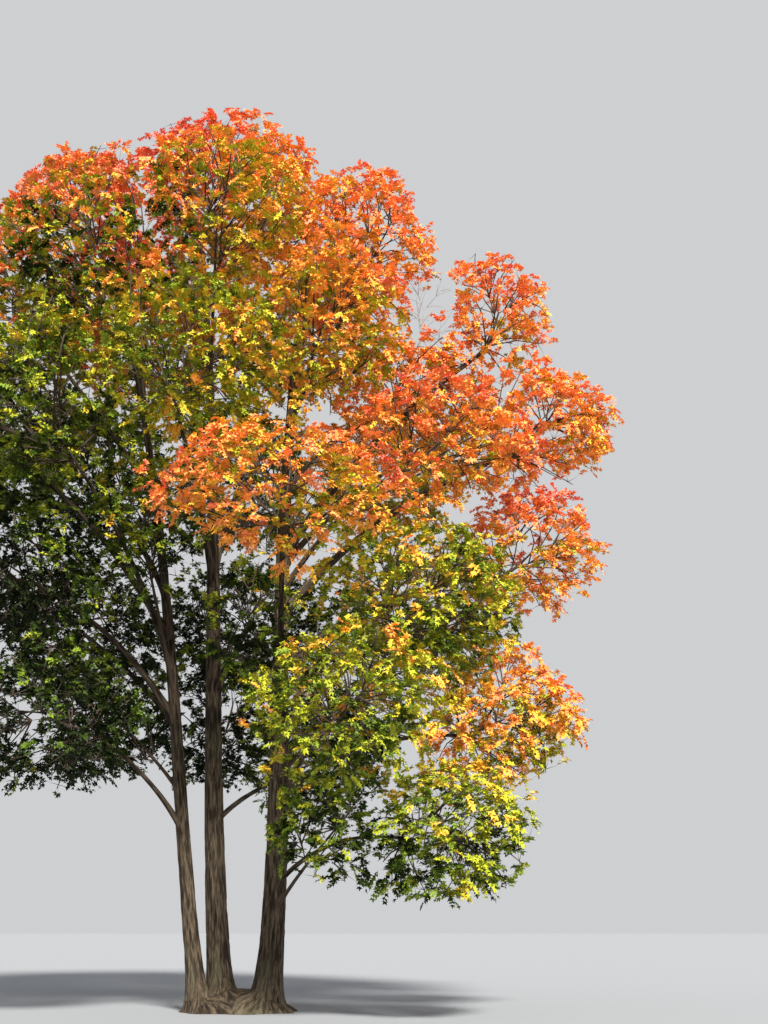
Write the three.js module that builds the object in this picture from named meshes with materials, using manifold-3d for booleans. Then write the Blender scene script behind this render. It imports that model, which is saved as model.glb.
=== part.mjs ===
// A clump-grown maple in autumn leaf: three stems from one root crown, boughs, and masses of foliage.
// Millimetres, +Z up. The origin is on the flat cut at ground level, in the middle of the root crown.
// X runs to the right and Y away from the side that is best known, so -Y is the front.
import * as THREE from "three";
import { mergeVertices } from "three/addons/utils/BufferGeometryUtils.js";
import Module from "manifold-3d";

const wasm = await Module();
wasm.setup();

// Driving dimensions. Places, sizes and radii in the tables are in metres.
const M = 1000;
const GAP = 0.3; // mm between pieces that touch
const ROOT_CROWN_TOP = 0.7 * M; // the root crown is cut level here, and the stems stand on it
const FLARE = 0.9; // how much wider than its stem the root crown is at the ground
const FLARE_HEIGHT = 0.36 * M; // the flare fades by this height
const ROOT_RIDGES = 4; // buttress roots round each stem
const RIDGE_DEPTH = 0.2; // of the radius, at the ground
const FOOT = { length: 0.8 * M, sides: 12, steps: 4 }; // the part of a stem that is in the root crown
// The old stool between the stems is a low dome with roots round it, cut off just under its peak.
const MOUND = { radius: 0.84 * M, height: 0.42 * M, stretch: 1.35, peak: 0.97, sides: 28, steps: 4 };
const MOUND_ROOTS = { count: 7, depth: 0.1 };
const STEM_SIDES = 9;
const STEM_STEPS = 12;
const STEM_START = 0.6 * M; // along the stem, inside the root crown
const STEM_TAPER = 0.85; // below 1 a stem loses more of its width low down than near its tip
const BOUGH_SIDES = 6;
const BOUGH_STEPS = 5;
const LIMB_TIP_SHARE = 0.5; // a bough's tip radius over its foot radius
const KNEE = { along: 0.4, ahead: 0.14 }; // where a bough bends, and how far it first runs on with its stem
const MASS_STEM = { sides: 5, steps: 3, taper: 0.6 }; // the taper is the share of its radius lost to its tip
const MASS_STEM_LEAD = { atTip: 0.3, atSide: 0.12 }; // how far it first runs on with the limb that carries it
const TWIGS = { leafyPerMetre: 0.95, bare: 6 }; // in a mass: over the sum of its half sizes, or if bare
const SPACE_BLEND = 4; // how sharply the round spaces of the masses run into each other
const TWIG_REACHES = [0.74, 0.6, 0.45]; // of the mass's half size: the longest that fits is grown
const TWIG_REACH_SPREAD = 0.08; // by chance, beyond that
const TWIG_SIDES = 3;
const TWIG_FEET = { first: 0.2, last: 0.97 }; // the stretch of its stem that twigs leave from
const TWIG_RADIUS = { foot: 28, tip: 17 }; // mm
const FORK_ANGLE = 50; // degrees between a twig and the stem that it leaves
const LEAF_LENGTH = 1.75 * M; // each stands for a spray of many leaves
const LEAF_SIZES = [1, 0.82, 0.64]; // of the full length: the largest that fits is grown
const LEAF_WIDTH = 0.86; // of its length
const LEAF_WIDEST = 0.42; // how far along it is widest
const LEAF_THICKNESS = 0.022; // of its length
const LEAF_SINK = 0.015; // of its length, sunk in the twig
const CLEARANCE = 25; // mm that a twig or leaf keeps from any limb and from the other masses
const SIMPLIFY = 8; // mm by which the fused surfaces may move, to shed slivers
const SAME_POINT = 1e-3; // mm within which two corners are one

// Each stem: foot on the ground, two handles that bend it, tip, and radius at foot and tip.
const STEMS = {
  left_stem: {
    path: [[-0.78, -0.16, 0], [-1.55, -0.2, 4.6], [-1.7, 0.1, 9.5], [-3.35, 0.1, 15.7]],
    radius: [0.17, 0.055],
  },
  middle_stem: {
    path: [[-0.36, 0.14, 0], [-0.95, 0.3, 4.6], [-0.75, 0.35, 10.5], [-1.55, 0.15, 17.3]],
    radius: [0.245, 0.06],
  },
  right_stem: {
    path: [[0.5, 0, 0], [0.95, -0.1, 4.2], [0.2, 0.1, 8.8], [1.05, 0.1, 17.0]],
    radius: [0.265, 0.065],
  },
};

// Each bough: the limb that it leaves, how far along, its tip, its arch over its length, and foot radius.
const BOUGHS = {
  shoulder_bough: { from: "right_stem", share: 0.74, tip: [2.3, -0.1, 15.9], arch: -0.05, radius: 0.075 },
  left_fork_bough: { from: "left_stem", share: 0.5, tip: [-2.5, -1.6, 13.5], arch: 0.0, radius: 0.075 },
  left_mid_bough: { from: "left_stem", share: 0.47, tip: [-4.9, -0.3, 11.2], arch: 0.04, radius: 0.085 },
  left_mid_front_bough: { from: "left_stem", share: 0.43, tip: [-3.3, -2.4, 10.4], arch: 0.06, radius: 0.07 },
  left_low_bough: { from: "left_stem", share: 0.36, tip: [-3.6, -1.1, 7.9], arch: 0.05, radius: 0.08 },
  centre_front_bough: { from: "middle_stem", share: 0.5, tip: [-1.3, -2.7, 11.3], arch: 0.05, radius: 0.08 },
  lobe_top_bough: { from: "right_stem", share: 0.55, tip: [5.0, 0.1, 14.2], arch: 0.0, radius: 0.105 },
  lobe_inner_bough: { from: "right_stem", share: 0.64, tip: [2.9, 0.6, 13.0], arch: 0.03, radius: 0.06 },
  lobe_tip_bough: { from: "right_stem", share: 0.47, tip: [5.2, -0.1, 11.5], arch: 0.03, radius: 0.1 },
  lobe_front_bough: { from: "right_stem", share: 0.5, tip: [3.2, -1.7, 10.7], arch: 0.05, radius: 0.065 },
  lower_orange_bough: { from: "right_stem", share: 0.4, tip: [5.3, -0.3, 8.8], arch: 0.06, radius: 0.085 },
  band_bough: { from: "right_stem", share: 0.34, tip: [0.9, -3.6, 8.7], arch: 0.1, radius: 0.08 },
  right_low_bough: { from: "right_stem", share: 0.3, tip: [2.9, -1.9, 7.0], arch: 0.06, radius: 0.07 },
  right_skirt_bough: { from: "right_stem", share: 0.24, tip: [4.3, -0.9, 5.3], arch: 0.08, radius: 0.07 },
  front_skirt_bough: { from: "right_stem", share: 0.22, tip: [1.9, -2.9, 5.2], arch: 0.08, radius: 0.06 },
  low_right_bough: { from: "right_stem", share: 0.14, tip: [3.2, -1.9, 3.2], arch: 0.1, radius: 0.05 },
  left_skirt_bough: { from: "left_stem", share: 0.22, tip: [-2.9, -1.6, 5.2], arch: 0.05, radius: 0.06 },
};

// Each mass of foliage: what carries it, how far along and the foot radius of its own stem there, or none
// of these where it runs on from the tip, and its centre and half sizes.
const MASSES = {
  top_left_leaves: { on: "middle_stem", at: [-1.2, -0.3, 18.3], size: [2.1, 2.2, 2.0] },
  top_right_leaves: { on: "right_stem", at: [-0.15, 0.7, 18.65], size: [1.5, 2.2, 1.95] },
  left_shoulder_leaves: { on: "left_stem", at: [-4.4, 0.2, 17.5], size: [2.1, 2.2, 2.0] },
  right_shoulder_leaves: { on: "shoulder_bough", at: [2.4, -0.1, 17.12], size: [1.75, 2.1, 1.85] },
  far_left_upper_leaves: {
    on: "left_stem", share: 0.66, radius: 0.07,
    at: [-5.8, 0.0, 15.4], size: [1.95, 2.3, 2.0],
  },
  upper_left_front_leaves: { on: "left_fork_bough", at: [-3.4, -2.9, 15.5], size: [2.1, 2.0, 2.1] },
  upper_front_leaves: {
    on: "middle_stem", share: 0.76, radius: 0.05,
    at: [-0.7, -3.1, 16.1], size: [2.1, 2.0, 2.1],
  },
  upper_right_front_leaves: {
    on: "right_stem", share: 0.72, radius: 0.05,
    at: [1.6, -2.3, 14.0], size: [1.9, 1.9, 2.0],
  },
  upper_left_back_leaves: {
    on: "left_stem", share: 0.78, radius: 0.05,
    at: [-3.4, 3.1, 16.2], size: [2.2, 2.1, 2.2],
  },
  upper_back_leaves: {
    on: "middle_stem", share: 0.78, radius: 0.05,
    at: [0.5, 3.4, 16.6], size: [2.3, 2.1, 2.2],
  },
  left_mid_leaves: { on: "left_mid_bough", at: [-5.9, -0.4, 12.1], size: [2.0, 2.4, 2.0] },
  left_mid_front_leaves: { on: "left_mid_front_bough", at: [-4.0, -3.6, 11.6], size: [2.2, 2.0, 2.0] },
  left_mid_back_leaves: {
    on: "left_stem", share: 0.52, radius: 0.075,
    at: [-4.5, 3.7, 12.5], size: [2.2, 2.1, 2.0],
  },
  centre_front_leaves: { on: "centre_front_bough", at: [-1.0, -4.1, 12.4], size: [2.2, 1.9, 2.0] },
  centre_back_leaves: {
    on: "middle_stem", share: 0.5, radius: 0.085,
    at: [-0.9, 4.6, 12.8], size: [2.3, 2.0, 2.0],
  },
  right_back_leaves: {
    on: "right_stem", share: 0.52, radius: 0.08,
    at: [3.0, 3.9, 12.8], size: [2.0, 2.0, 1.9],
  },
  lobe_top_leaves: { on: "lobe_top_bough", at: [5.55, 0.1, 15.35], size: [1.35, 1.6, 1.6] },
  lobe_inner_leaves: { on: "lobe_inner_bough", at: [3.9, 0.7, 13.6], size: [1.7, 1.8, 1.6] },
  lobe_tip_leaves: { on: "lobe_tip_bough", at: [6.35, -0.1, 12.4], size: [2.05, 1.8, 1.6] },
  lobe_front_leaves: { on: "lobe_front_bough", at: [4.1, -2.4, 11.2], size: [1.9, 1.6, 1.5] },
  lower_orange_leaves: { on: "lower_orange_bough", at: [6.05, -0.5, 9.3], size: [1.75, 1.7, 1.4] },
  band_leaves: { on: "band_bough", at: [0.9, -4.9, 9.3], size: [2.4, 1.7, 1.4] },
  left_low_leaves: { on: "left_low_bough", at: [-4.8, -2.0, 8.6], size: [2.2, 2.1, 1.8] },
  right_low_leaves: { on: "right_low_bough", at: [3.6, -2.8, 7.7], size: [2.2, 1.9, 1.7] },
  right_skirt_leaves: { on: "right_skirt_bough", at: [5.3, -1.1, 5.6], size: [1.8, 1.9, 1.6] },
  front_skirt_leaves: { on: "front_skirt_bough", at: [2.2, -4.1, 5.4], size: [2.0, 1.7, 1.6] },
  low_right_leaves: { on: "low_right_bough", at: [4.0, -2.9, 3.2], size: [1.9, 1.8, 1.4] },
  back_right_low_leaves: {
    on: "right_stem", share: 0.36, radius: 0.08,
    at: [4.0, 3.8, 8.8], size: [2.3, 2.1, 1.9],
  },
  back_low_leaves: {
    on: "middle_stem", share: 0.34, radius: 0.08,
    at: [-0.6, 4.9, 8.8], size: [2.3, 2.0, 1.9],
  },
  left_back_low_leaves: {
    on: "left_stem", share: 0.34, radius: 0.075,
    at: [-4.6, 3.4, 8.5], size: [2.2, 2.2, 1.9],
  },
  left_skirt_leaves: { on: "left_skirt_bough", at: [-3.7, -2.5, 5.4], size: [2.1, 1.9, 1.6] },
  inner_back_leaves: {
    on: "middle_stem", share: 0.26, radius: 0.045,
    at: [-0.9, 2.3, 5.9], size: [1.7, 1.5, 1.7],
  },
  inner_right_leaves: {
    on: "right_stem", share: 0.26, radius: 0.045,
    at: [1.9, 1.7, 6.2], size: [1.6, 1.6, 1.7],
  },
  inner_left_leaves: {
    on: "left_stem", share: 0.26, radius: 0.045,
    at: [-3.1, 1.0, 6.0], size: [1.6, 1.7, 1.6],
  },
  inner_upper_leaves: {
    on: "left_stem", share: 0.39, radius: 0.045,
    at: [-2.2, -2.0, 9.6], size: [1.5, 1.4, 1.5],
  },
  inner_front_leaves: {
    on: "middle_stem", share: 0.36, radius: 0.03,
    at: [0.1, -1.3, 7.6], size: [1.1, 1.1, 1.4],
  },
  low_front_leaves: {
    on: "right_stem", share: 0.1, radius: 0.045,
    at: [2.0, -2.5, 3.4], size: [1.5, 1.4, 1.3],
  },
  back_skirt_leaves: {
    on: "middle_stem", share: 0.2, radius: 0.06,
    at: [1.2, 4.4, 5.4], size: [2.0, 1.8, 1.7],
  },
  dead_twigs: {
    on: "lobe_top_bough", share: 0.66, radius: 0.025,
    at: [3.8, 0.2, 15.5], size: [0.9, 1.0, 1.15], bare: true,
  },
};

const BARK = new THREE.MeshStandardMaterial({ color: 0x54473c, roughness: 0.95, metalness: 0 });
const DEAD_WOOD = new THREE.MeshStandardMaterial({ color: 0x8d857b, roughness: 0.95, metalness: 0 });
const leafMaterial = (color) => new THREE.MeshStandardMaterial({ color, roughness: 0.6, metalness: 0 });
const ORANGE_LEAVES = leafMaterial(0xdb5f28);
const GOLD_LEAVES = leafMaterial(0xc98f2b);
const GREEN_LEAVES = leafMaterial(0x6f8430);

// Leaves turn first at the top of the crown and on its sunny right and front.
const TURNING = { middle: [1, 0, 11], over: [7, -14, 8], gold: -0.25, orange: 0.4 };

function turned(mass) {
  return mass.at.reduce((sum, v, i) => sum + (v - TURNING.middle[i]) / TURNING.over[i], 0);
}

function foliageMaterial(mass) {
  if (mass.bare) return DEAD_WOOD;
  if (turned(mass) > TURNING.orange) return ORANGE_LEAVES;
  return turned(mass) > TURNING.gold ? GOLD_LEAVES : GREEN_LEAVES;
}

const UP = new THREE.Vector3(0, 0, 1);
const metres = ([x, y, z]) => new THREE.Vector3(x, y, z).multiplyScalar(M);

// A number from 0 to 1 that depends only on two whole numbers, so that every build gives the same tree.
function chance(a, b) {
  const wave = Math.sin(a * 12.9898 + b * 78.233) * 43758.5453;
  return wave - Math.floor(wave);
}

// A closed three.js geometry as a manifold solid.
function solid(geometry) {
  const bare = geometry.index ? geometry.toNonIndexed() : geometry.clone();
  bare.deleteAttribute("normal");
  bare.deleteAttribute("uv");
  const merged = mergeVertices(bare, SAME_POINT);
  return new wasm.Manifold(new wasm.Mesh({
    numProp: 3,
    vertProperties: merged.attributes.position.array,
    triVerts: new Uint32Array(merged.index.array),
  }));
}

// A manifold solid as a three.js geometry.
function geometryOf(made) {
  const { vertProperties, triVerts, numProp } = made.getMesh();
  const positions = new Float32Array((vertProperties.length / numProp) * 3);
  for (let i = 0; i * 3 < positions.length; i++)
    positions.set(vertProperties.subarray(i * numProp, i * numProp + 3), i * 3);
  const geometry = new THREE.BufferGeometry();
  geometry.setAttribute("position", new THREE.BufferAttribute(positions, 3));
  geometry.setIndex(new THREE.BufferAttribute(triVerts, 1));
  geometry.computeVertexNormals();
  return geometry;
}

// The largest body of a solid, with no sealed hollow: cutting and fusing can leave scraps and hollows.
function largest(made) {
  const bodies = made.decompose().filter((body) => body.volume() > 0);
  return bodies.reduce((best, body) => (body.volume() > best.volume() ? body : best));
}

// Rings along a curve, from one share of its length to another: the middle of each, and two directions
// across it that turn as little as possible from ring to ring.
const ACROSS = new THREE.Vector3(0.05, 1, 0.02);

function ringsAlong(curve, steps, [from, to]) {
  let side = new THREE.Vector3().crossVectors(curve.getTangentAt(from), ACROSS);
  return Array.from({ length: steps + 1 }, (_, step) => {
    const share = THREE.MathUtils.lerp(from, to, step / steps);
    const along = curve.getTangentAt(share);
    side = side.clone().addScaledVector(along, -side.dot(along)).normalize();
    return { share, middle: curve.getPointAt(share), side, other: along.clone().cross(side) };
  });
}

// A cylinder bent along a curve, where radiusAt(share, angle) gives its radius.
function tube(curve, radiusAt, sides, steps, stretch = [0, 1]) {
  const cylinder = new THREE.CylinderGeometry(1, 1, 1, sides, steps);
  const rings = ringsAlong(curve, steps, stretch);
  const position = cylinder.attributes.position;
  for (let i = 0; i < position.count; i++) {
    const { share, middle, side, other } = rings[Math.round((position.getY(i) + 0.5) * steps)];
    const angle = -Math.atan2(position.getZ(i), position.getX(i));
    const reach = Math.hypot(position.getX(i), position.getZ(i)) * radiusAt(share, angle);
    const place = middle.clone()
      .addScaledVector(side, reach * Math.cos(angle)).addScaledVector(other, reach * Math.sin(angle));
    position.setXYZ(i, place.x, place.y, place.z);
  }
  return solid(cylinder);
}

// Stems: each is one tapering tube. Its foot in the root crown flares and ridges into roots at the ground.
function stemCurve({ path }) {
  const [foot, first, second, tip] = path.map(metres);
  return new THREE.CubicBezierCurve3(foot, first, second, tip);
}

function stemRadius(stem, share) {
  const [foot, tip] = stem.radius;
  return M * THREE.MathUtils.lerp(foot, tip, share ** STEM_TAPER);
}

function flaredRadius(stem, index, length) {
  return (share, angle) => {
    const fade = Math.exp(-(share * length) / FLARE_HEIGHT);
    const ridge = 1 + RIDGE_DEPTH * fade * Math.cos(ROOT_RIDGES * angle + index);
    return stemRadius(stem, share) * (1 + FLARE * fade) * ridge;
  };
}

function stemSolid(stem, index, grown = 0) {
  const curve = stemCurve(stem);
  const length = curve.getLength();
  const radiusAt = flaredRadius(stem, index, length);
  const grownRadius = (share, angle) => radiusAt(share, angle) + grown;
  return tube(curve, grownRadius, STEM_SIDES, STEM_STEPS, [STEM_START / length, 1]);
}

function footSolid(stem, index) {
  const curve = stemCurve(stem);
  const length = curve.getLength();
  return tube(curve, flaredRadius(stem, index, length), FOOT.sides, FOOT.steps, [0, FOOT.length / length]);
}

function moundSolid() {
  const axis = new THREE.LineCurve3(new THREE.Vector3(), new THREE.Vector3(0, 0, MOUND.height));
  const radiusAt = (share, angle) => {
    const width = MOUND.radius * (2 / Math.PI) * Math.acos(MOUND.peak * share);
    return width * (1 + MOUND_ROOTS.depth * (1 - share) * Math.cos(MOUND_ROOTS.count * angle));
  };
  return tube(axis, radiusAt, MOUND.sides, MOUND.steps).scale([MOUND.stretch, 1, 1]);
}

// Boughs: each leaves its stem from inside it, and is cut back to the stem's surface.
function pointOn(name, share) {
  const curve = curves.get(name);
  return { point: curve.getPointAt(share), tangent: curve.getTangentAt(share) };
}

function boughCurve({ from, share, tip, arch }) {
  const { point, tangent } = pointOn(from, share);
  const end = metres(tip);
  const length = point.distanceTo(end);
  const knee = point.clone().lerp(end, KNEE.along)
    .addScaledVector(tangent, KNEE.ahead * length).addScaledVector(UP, arch * length);
  return new THREE.QuadraticBezierCurve3(point, knee, end);
}

function boughSolid(name, bough, grown = 0) {
  const radius = bough.radius * M;
  const radiusAt = (share) => radius * (1 - (1 - LIMB_TIP_SHARE) * share) + grown;
  return tube(curves.get(name), radiusAt, BOUGH_SIDES, BOUGH_STEPS);
}

// Foliage: the distance of a point from the middle of a mass, over the mass's half size that way.
function measure(mass, point) {
  const [x, y, z] = mass.at.map((v, i) => (point.getComponent(i) / M - v) / mass.size[i]);
  return Math.hypot(x, y, z);
}

// A point belongs to the mass that it is nearest to, if it lies in the crown: the round spaces of all the
// masses, run together where they meet.
function inOwnSpace(mass, point) {
  const measures = Object.values(MASSES).map((other) => measure(other, point));
  const closeness = measures.reduce((sum, each) => sum + each ** -SPACE_BLEND, 0);
  return closeness > 1 && Math.min(...measures) === measure(mass, point);
}

// True if two solids keep their clearance. Their boxes settle most pairs.
function apart(a, b) {
  const [one, two] = [a.boundingBox(), b.boundingBox()];
  const boxesApart = [0, 1, 2].some((i) =>
    one.min[i] > two.max[i] + CLEARANCE || two.min[i] > one.max[i] + CLEARANCE);
  return boxesApart || a.minGap(b, CLEARANCE) >= CLEARANCE;
}

// A leaf: a thin kite-shaped plate, thickest in the middle, its foot at the origin and its tip along +Y.
const HALF_WIDTH = LEAF_WIDTH / 2;
const LEAF_OUTLINE = [[0, 0], [HALF_WIDTH, LEAF_WIDEST], [0, 1], [-HALF_WIDTH, LEAF_WIDEST]];

function leafSolid(foot, direction, face, length) {
  const side = new THREE.Vector3().crossVectors(direction, face).normalize();
  const normal = new THREE.Vector3().crossVectors(side, direction).normalize();
  const place = (x, y, z) => foot.clone().addScaledVector(side, x * length)
    .addScaledVector(direction, y * length).addScaledVector(normal, z * length);
  const rim = LEAF_OUTLINE.map(([x, y]) => place(x, y, 0));
  const above = place(0, LEAF_WIDEST, LEAF_THICKNESS / 2);
  const below = place(0, LEAF_WIDEST, -LEAF_THICKNESS / 2);
  const corners = rim.flatMap((corner, i) => {
    const next = rim[(i + 1) % rim.length];
    return [corner, next, above, next, corner, below];
  });
  return { made: solid(new THREE.BufferGeometry().setFromPoints(corners)), corners: rim };
}

function twigSolid(foot, tip) {
  const axis = tip.clone().sub(foot);
  const cone = new THREE.CylinderGeometry(TWIG_RADIUS.tip, TWIG_RADIUS.foot, axis.length(), TWIG_SIDES, 1);
  cone.translate(0, axis.length() / 2, 0);
  const along = new THREE.Vector3(0, 1, 0);
  cone.applyQuaternion(new THREE.Quaternion().setFromUnitVectors(along, axis.normalize()));
  return { made: solid(cone.translate(foot.x, foot.y, foot.z)), foot, tip, corners: [tip] };
}

// The i-th of n directions spread evenly over a ball, turned by the seed.
const GOLDEN_ANGLE = Math.PI * (3 - Math.sqrt(5));
const SEED_TURN = 1.7;

function evenDirection(i, n, seed) {
  const height = 1 - (2 * i + 1) / n;
  const turn = i * GOLDEN_ANGLE + seed * SEED_TURN;
  const flat = Math.sqrt(1 - height * height);
  return new THREE.Vector3(flat * Math.cos(turn), flat * Math.sin(turn), height);
}

// The stem of a mass runs on from its bough's tip, or leaves the side of a limb, to the middle of the mass.
function massStemCurve(mass) {
  const { point, tangent } = pointOn(mass.on, mass.share ?? 1);
  const start = mass.share ? point : point.clone().addScaledVector(tangent, GAP);
  const middle = metres(mass.at);
  const reach = start.distanceTo(middle);
  const lead = mass.share ? MASS_STEM_LEAD.atSide : MASS_STEM_LEAD.atTip;
  return new THREE.QuadraticBezierCurve3(start, start.clone().addScaledVector(tangent, lead * reach), middle);
}

function massStemRadius(mass) {
  if (mass.share) return M * mass.radius;
  return M * (STEMS[mass.on] ? STEMS[mass.on].radius[1] : BOUGHS[mass.on].radius * LIMB_TIP_SHARE);
}

function massStemSolid(mass) {
  const radius = massStemRadius(mass);
  const { sides, steps, taper } = MASS_STEM;
  return tube(massStemCurve(mass), (share) => radius * (1 - taper * share), sides, steps);
}

// Where a twig to the given tip leaves the stem, so that it forks off at about FORK_ANGLE.
function forkShare(curve, tip) {
  const start = curve.getPointAt(0);
  const axis = curve.getPointAt(1).sub(start);
  const length = axis.length();
  axis.normalize();
  const toTip = tip.clone().sub(start);
  const along = toTip.dot(axis);
  const aside = toTip.addScaledVector(axis, -along).length();
  const back = aside / Math.tan(THREE.MathUtils.degToRad(FORK_ANGLE));
  return THREE.MathUtils.clamp((along - back) / length, TWIG_FEET.first, TWIG_FEET.last);
}

// The first of several sizes at which a twig or leaf keeps to its mass's space and clear of the obstacles.
function fitted(mass, obstacles, sizes, make) {
  for (const size of sizes) {
    const piece = make(size);
    const inside = piece.corners.every((corner) => inOwnSpace(mass, corner));
    if (inside && obstacles.every((other) => apart(piece.made, other))) return piece;
  }
  return null;
}

// Three leaves a twig: one runs on from its tip, and two lie to either side, facing out of the mass.
const TWIG_LEAVES = [
  { at: 1, ahead: 1, aside: 0.25, rise: -0.2, outward: 0.35 },
  { at: 0.86, ahead: 0.35, aside: 1, rise: -0.1, outward: 1 },
  { at: 0.55, ahead: 0.3, aside: -1, rise: -0.1, outward: 1 },
];

function leafAt(mass, seed, twig, { at, ahead, aside, rise, outward }, scale) {
  const along = twig.tip.clone().sub(twig.foot).normalize();
  const face = UP.clone().addScaledVector(twig.tip.clone().sub(metres(mass.at)).normalize(), outward);
  face.x += chance(seed, 3 + at) - 0.5;
  face.y += chance(seed, 7 + at) - 0.5;
  const across = new THREE.Vector3().crossVectors(along, face).normalize();
  const direction = along.clone().multiplyScalar(ahead)
    .addScaledVector(across, aside).addScaledVector(UP, rise).normalize();
  const length = LEAF_LENGTH * scale;
  const from = twig.foot.clone().lerp(twig.tip, at).addScaledVector(direction, -LEAF_SINK * length);
  return leafSolid(from, direction, face, length);
}

function twigCount(mass) {
  const [x, y, z] = mass.size;
  return mass.bare ? TWIGS.bare : Math.round(TWIGS.leafyPerMetre * (x + y + z));
}

function massSolid(mass, seed, obstacles) {
  const curve = massStemCurve(mass);
  const parts = [massStemSolid(mass)];
  const middle = metres(mass.at);
  const twigs = twigCount(mass);
  for (let i = 0; i < twigs; i++) {
    const spread = metres(mass.size).multiply(evenDirection(i, twigs, seed));
    const twig = fitted(mass, obstacles, TWIG_REACHES, (reach) => {
      const tip = middle.clone().addScaledVector(spread, reach + TWIG_REACH_SPREAD * chance(seed, i));
      return twigSolid(curve.getPointAt(forkShare(curve, tip)), tip);
    });
    if (!twig) continue;
    const grow = (leaf) =>
      fitted(mass, obstacles, LEAF_SIZES, (scale) => leafAt(mass, seed + i, twig, leaf, scale));
    const leaves = mass.bare ? [] : TWIG_LEAVES.map(grow).filter((leaf) => leaf);
    if (mass.bare || leaves.length) parts.push(twig.made, ...leaves.map(({ made }) => made));
  }
  return wasm.Manifold.union(parts).asOriginal().simplify(SIMPLIFY);
}

// The lines of all limbs, stems first, because a bough starts on its stem's line.
const curves = new Map();
for (const [name, stem] of Object.entries(STEMS)) curves.set(name, stemCurve(stem));
for (const [name, bough] of Object.entries(BOUGHS)) curves.set(name, boughCurve(bough));

// Parts in the order in which they cut each other: root crown and stems, then boughs, then masses.
const tree = new THREE.Group();
function add(name, made, material) {
  const mesh = new THREE.Mesh(geometryOf(made), material);
  mesh.name = name;
  tree.add(mesh);
}

const stems = Object.entries(STEMS);
const feet = stems.map(([, stem], i) => footSolid(stem, i));
const rootCrown = wasm.Manifold.union([moundSolid(), ...feet])
  .trimByPlane([0, 0, 1], 0)
  .trimByPlane([0, 0, -1], -ROOT_CROWN_TOP);
add("root_crown", largest(rootCrown), BARK);

const limbs = [];
const grownLimbs = new Map();
stems.forEach(([name, stem], i) => {
  const whole = stemSolid(stem, i);
  add(name, largest(whole.trimByPlane([0, 0, 1], ROOT_CROWN_TOP + GAP)), BARK);
  grownLimbs.set(name, stemSolid(stem, i, GAP));
  limbs.push(whole, feet[i]);
});

for (const [name, bough] of Object.entries(BOUGHS)) {
  const made = largest(boughSolid(name, bough).subtract(grownLimbs.get(bough.from)));
  add(name, made, BARK);
  grownLimbs.set(name, boughSolid(name, bough, GAP));
  limbs.push(made);
}

// A mass keeps clear of the limbs, of the stems of all other masses, and of the masses made before it.
const massStems = new Map(Object.values(MASSES).map((mass) => [mass, massStemSolid(mass)]));
const finished = [];
Object.entries(MASSES).forEach(([name, mass], i) => {
  const otherStems = [...massStems].filter(([other]) => other !== mass).map(([, made]) => made);
  const whole = massSolid(mass, i + 1, [...limbs, ...otherStems, ...finished]);
  const made = largest(mass.share ? whole.subtract(grownLimbs.get(mass.on)) : whole);
  finished.push(made);
  add(name, made, foliageMaterial(mass));
});

export default tree;
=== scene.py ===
"""A clump-grown maple in autumn leaf: bark relief on its limbs, and foliage grown twig by twig.

Metres, +Z up. The origin is on the ground in the middle of the root crown, and -Y is the front.
"""

import bpy
import numpy as np
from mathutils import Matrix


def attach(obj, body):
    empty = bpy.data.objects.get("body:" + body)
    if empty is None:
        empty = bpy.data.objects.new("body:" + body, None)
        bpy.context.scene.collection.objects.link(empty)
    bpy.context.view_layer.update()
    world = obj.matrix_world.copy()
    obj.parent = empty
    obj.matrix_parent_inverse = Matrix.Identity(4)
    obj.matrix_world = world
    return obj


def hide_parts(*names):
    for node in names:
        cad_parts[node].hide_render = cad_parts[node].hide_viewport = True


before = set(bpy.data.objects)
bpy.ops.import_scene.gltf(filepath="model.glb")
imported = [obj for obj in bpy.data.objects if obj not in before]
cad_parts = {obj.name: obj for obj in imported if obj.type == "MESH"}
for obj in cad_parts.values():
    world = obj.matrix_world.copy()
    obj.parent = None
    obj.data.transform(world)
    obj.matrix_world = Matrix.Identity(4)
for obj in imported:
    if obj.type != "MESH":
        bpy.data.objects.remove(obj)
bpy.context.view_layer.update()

# The limbs and masses of foliage, with the same places and sizes as the solids that they replace.
FLARE = 0.9  # by which a stem's foot is wider at the ground, over its radius
FLARE_HEIGHT = 0.36  # m by which the flare fades
ROOT_RIDGES = 4  # round each stem
RIDGE_DEPTH = 0.2  # of the radius, at the ground
MOUND = {"radius": 0.84, "height": 0.42, "stretch": 1.35, "peak": 0.97}
MOUND_ROOTS = {"count": 7, "depth": 0.1}
STEM_TAPER = 0.85  # below 1 a stem loses more of its width low down than near its tip
LIMB_TIP_SHARE = 0.5  # a bough's tip radius over its foot radius
KNEE = {"along": 0.4, "ahead": 0.14}  # where a bough bends, and how far it first runs on with its stem
MASS_STEM_TAPER = 0.6  # the share of its radius that a mass's stem loses to its tip
MASS_STEM_LEAD = {"at_tip": 0.3, "at_side": 0.12}  # how far it first runs on with the limb that carries it
SPACE_BLEND = 4  # how sharply the round spaces of the masses run into each other
LEAST_MEASURE = 0.05  # of a mass's half size, which keeps its middle from counting as endlessly deep
SEED_TURN = 1.7  # radians by which each seed turns the even directions
TWIGS = {"leafy_per_metre": 0.95, "bare": 6}  # in a mass: over the sum of its half sizes, or if bare
TWIG_REACH = 0.74  # of the mass's half size
TWIG_REACH_SPREAD = 0.08  # by chance, beyond that
TWIG_FEET = (0.2, 0.97)  # the stretch of its stem that twigs leave from
FORK_ANGLE = np.radians(50)  # between a twig and the stem that it leaves

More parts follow.
